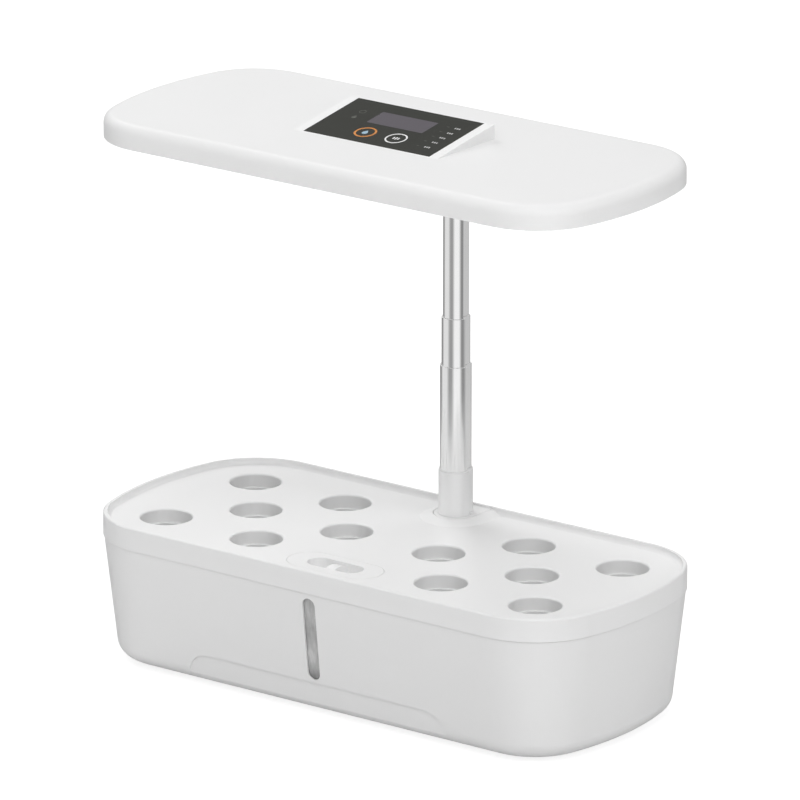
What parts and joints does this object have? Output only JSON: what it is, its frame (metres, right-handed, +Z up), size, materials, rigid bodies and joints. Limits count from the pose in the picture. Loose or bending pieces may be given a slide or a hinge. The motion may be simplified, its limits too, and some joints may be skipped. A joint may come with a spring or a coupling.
{
  "type": "countertop hydroponic garden",
  "caption": "Long water tank with a lift-off planting deck of round holes and a flat grow lamp with a sloped control panel on a telescopic chrome mast.",
  "frame": {"origin": "on the ground under the middle of the tank", "axes": "X along the tank, -Y the front with the level window, +Z up"},
  "size_m": [0.3686, 0.1668, 0.3499],
  "materials": {
    "white_plastic": "fine moulded satin white",
    "white_gloss": "smooth moulded white",
    "clear_window": "clear moulded window",
    "grey_rubber": "soft grey rubber",
    "mast_chrome": "drawn and polished tube",
    "dark_plastic": "dark moulded plastic",
    "black_plastic": "black moulded plastic",
    "lead_rubber": "black lead sheath",
    "magnet_white": "moulded rotor",
    "steel": "bright steel",
    "board_white": "white solder mask on an aluminium board",
    "led_white": "phosphor",
    "led_red": "red LED",
    "led_blue": "blue LED",
    "panel_black": "dark printed touch panel",
    "display_grey": "dark display",
    "spring_brass": "plated spring",
    "board_green": "green circuit board"
  },
  "bodies": {
    "base": {"water_tank": "white_plastic", "level_window": "clear_window", "window_gasket": "grey_rubber", "feet": "grey_rubber", "mast_base_tube": "mast_chrome", "mast_anchor": "dark_plastic", "mast_screws": "steel", "mast_foot_ring": "white_plastic", "mouth_ring": "dark_plastic", "power_jack": "dark_plastic", "pump_body": "black_plastic", "pump_cover": "black_plastic", "pump_shaft": "steel", "pump_outlet": "dark_plastic", "pump_cups": "grey_rubber", "pump_lead": "lead_rubber", "pump_plug": "black_plastic", "pump_socket": "black_plastic"},
    "deck": {"planting_deck": "white_plastic"},
    "fill_lid": {"fill_lid": "white_plastic"},
    "pump_rotor": {"pump_impeller": "magnet_white"},
    "mast_lower": {"lower_tube": "mast_chrome", "lower_shoe": "dark_plastic"},
    "mast_middle": {"middle_tube": "mast_chrome", "middle_shoe": "dark_plastic"},
    "lamp": {"upper_tube": "mast_chrome", "upper_shoe": "dark_plastic", "mast_lead": "lead_rubber", "mast_head": "white_plastic", "head_screws": "steel", "head_trim": "white_plastic", "lamp_cover": "white_gloss", "lamp_tray": "white_plastic", "tray_screws": "steel", "led_board": "board_white", "board_screws": "steel", "white_leds": "led_white", "red_leds": "led_red", "blue_leds": "led_blue", "touch_panel": "panel_black", "display_module": "display_grey", "touch_springs": "spring_brass", "control_board": "board_green", "board_posts": "white_plastic"}
  },
  "joints": [
    {"name": "mast_lower_slide", "type": "slide", "parent": "base", "child": "mast_lower", "axis": [0, 0, 1], "range_m": [-0.056, 0.035]},
    {"name": "mast_middle_slide", "type": "slide", "parent": "mast_lower", "child": "mast_middle", "axis": [0, 0, 1], "range_m": [-0.017, 0.07]},
    {"name": "lamp_slide", "type": "slide", "parent": "mast_middle", "child": "lamp", "axis": [0, 0, 1], "range_m": [-0.088, 0.006]},
    {"name": "deck_lift", "type": "slide", "parent": "base", "child": "deck", "axis": [0, 0, 1], "range_m": [0, 0.045]},
    {"name": "fill_lid_lift", "type": "slide", "parent": "deck", "child": "fill_lid", "axis": [0, 0, 1], "range_m": [0, 0.02]},
    {"name": "pump_spin", "type": "hinge", "parent": "base", "child": "pump_rotor", "pos_m": [-0.066, 0, 0.023], "axis": [0, 1, 0], "continuous": true}
  ]
}
